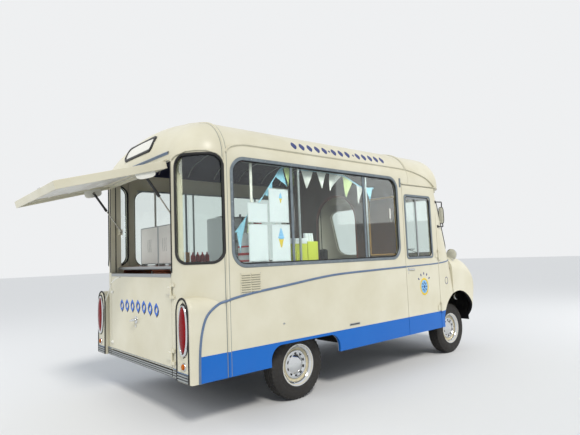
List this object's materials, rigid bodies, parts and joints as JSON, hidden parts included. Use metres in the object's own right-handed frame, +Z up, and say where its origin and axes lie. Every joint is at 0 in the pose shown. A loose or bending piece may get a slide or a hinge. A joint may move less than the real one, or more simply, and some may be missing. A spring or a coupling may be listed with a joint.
{
  "type": "ice cream truck",
  "caption": "Coachbuilt ice cream van with rounded loaf-shaped body, raised rear serving hatch on stays, hinged lower rear door, side-hinged cab doors and steered front wheels",
  "frame": {"origin": "on the ground, at the centre of the overall length and width", "axes": "+X forward, +Y to the van's left, +Z up"},
  "size_m": [5.2498, 2.04, 2.535],
  "materials": {
    "cream_paint": "gloss coach paint",
    "cream_doors": "gloss coach paint",
    "black_chassis": "satin chassis black",
    "blue_bumper": "gloss blue paint",
    "glass": "clear safety glass",
    "lamp_glass": "moulded lamp lenses",
    "engine_iron": "painted casting",
    "axle_iron": "black forging",
    "spring_steel": "dull leaves",
    "floor_metal": "grey floor paint",
    "cabin_panel": "painted ply",
    "counter_wood": "varnished red-brown board",
    "machine_steel": "satin stainless",
    "seat_leather": "black grained hide",
    "dash_paint": "grey enamel",
    "steering_plastic": "ivory moulding",
    "mirror_metal": "polished",
    "tyre_rubber": "black rubber",
    "rim_paint": "cream wheel enamel",
    "hatch_paint": "gloss coach paint",
    "stay_metal": "black enamel",
    "rod_metal": "bright rod"
  },
  "bodies": {
    "body": {"roof": "cream_paint", "side_right": "cream_paint", "side_left": "cream_paint", "rear_corners": "cream_paint", "front_panel": "cream_paint", "wings": "cream_paint", "bonnet": "cream_paint", "grille": "cream_paint", "body_glass": "glass", "lamps": "lamp_glass", "chassis": "black_chassis", "floor": "floor_metal", "engine": "engine_iron", "front_beam": "axle_iron", "rear_axle": "axle_iron", "springs": "spring_steel", "bulkhead": "cabin_panel", "counters": "counter_wood", "machine": "machine_steel", "seats": "seat_leather", "dash": "dash_paint", "steering_wheel": "steering_plastic", "mirrors": "mirror_metal", "underfloor": "black_chassis", "bumper": "blue_bumper"},
    "knuckle_right": {"knuckle_right": "axle_iron"},
    "knuckle_left": {"knuckle_left": "axle_iron"},
    "wheel_rear_right": {"tyre_rear_right": "tyre_rubber", "rim_rear_right": "rim_paint"},
    "wheel_rear_left": {"tyre_rear_left": "tyre_rubber", "rim_rear_left": "rim_paint"},
    "wheel_front_right": {"tyre_front_right": "tyre_rubber", "rim_front_right": "rim_paint"},
    "wheel_front_left": {"tyre_front_left": "tyre_rubber", "rim_front_left": "rim_paint"},
    "cab_door_right": {"cab_door_right": "cream_doors", "door_glass_right": "glass"},
    "cab_door_left": {"cab_door_left": "cream_doors", "door_glass_left": "glass"},
    "rear_door": {"rear_door": "cream_doors"},
    "rear_hatch": {"rear_hatch": "hatch_paint"},
    "stay_tube_right": {"stay_tube_right": "stay_metal"},
    "stay_rod_right": {"stay_rod_right": "rod_metal"},
    "stay_tube_left": {"stay_tube_left": "stay_metal"},
    "stay_rod_left": {"stay_rod_left": "rod_metal"}
  },
  "joints": [
    {"name": "steer_right", "type": "hinge", "parent": "body", "child": "knuckle_right", "pos_m": [1.96, -0.69, 0.28], "axis": [0, 0, 1], "range_deg": [-30, 30]},
    {"name": "steer_left", "type": "hinge", "parent": "body", "child": "knuckle_left", "pos_m": [1.96, 0.69, 0.28], "axis": [0, 0, 1], "range_deg": [-30, 30]},
    {"name": "spin_rear_right", "type": "hinge", "parent": "body", "child": "wheel_rear_right", "pos_m": [-0.63, -0.7875, 0.305], "axis": [0, 1, 0], "continuous": true},
    {"name": "spin_rear_left", "type": "hinge", "parent": "body", "child": "wheel_rear_left", "pos_m": [-0.63, 0.7875, 0.305], "axis": [0, 1, 0], "continuous": true},
    {"name": "spin_front_right", "type": "hinge", "parent": "knuckle_right", "child": "wheel_front_right", "pos_m": [1.96, -0.7875, 0.305], "axis": [0, 1, 0], "continuous": true},
    {"name": "spin_front_left", "type": "hinge", "parent": "knuckle_left", "child": "wheel_front_left", "pos_m": [1.96, 0.7875, 0.305], "axis": [0, 1, 0], "continuous": true},
    {"name": "open_cab_door_right", "type": "hinge", "parent": "body", "child": "cab_door_right", "pos_m": [1.538, -1.012, 1.2], "axis": [0, 0, 1], "range_deg": [0, 65]},
    {"name": "open_cab_door_left", "type": "hinge", "parent": "body", "child": "cab_door_left", "pos_m": [1.538, 1.012, 1.2], "axis": [0, 0, -1], "range_deg": [0, 65]},
    {"name": "open_rear_door", "type": "hinge", "parent": "body", "child": "rear_door", "pos_m": [-1.774, -0.665, 0.8], "axis": [0, 0, 1], "range_deg": [0, 95]},
    {"name": "close_hatch", "type": "hinge", "parent": "body", "child": "rear_hatch", "pos_m": [-1.772, 0, 2.112], "axis": [0, -1, 0], "range_deg": [0, 74.8]},
    {"name": "swing_stay_right", "type": "hinge", "parent": "rear_hatch", "child": "stay_tube_right", "pos_m": [-1.947, -0.6, 1.978], "axis": [0, -1, 0], "range_deg": [-108.4, 0]},
    {"name": "slide_stay_right", "type": "slide", "parent": "stay_tube_right", "child": "stay_rod_right", "axis": [-0.5827, 0, 0.8127], "range_m": [0, 0.1579]},
    {"name": "swing_stay_left", "type": "hinge", "parent": "rear_hatch", "child": "stay_tube_left", "pos_m": [-1.947, 0.6, 1.978], "axis": [0, -1, 0], "range_deg": [-108.4, 0]},
    {"name": "slide_stay_left", "type": "slide", "parent": "stay_tube_left", "child": "stay_rod_left", "axis": [-0.5827, 0, 0.8127], "range_m": [0, 0.1579]}
  ],
  "couplings": [
    {"joint": "steer_left", "follows": "steer_right", "ratio": 1},
    {"joint": "swing_stay_right", "follows": "close_hatch", "ratio": -1.4452},
    {"joint": "slide_stay_right", "follows": "close_hatch", "m_per_rad": 0.12015},
    {"joint": "swing_stay_left", "follows": "close_hatch", "ratio": -1.4452},
    {"joint": "slide_stay_left", "follows": "close_hatch", "m_per_rad": 0.12015}
  ]
}
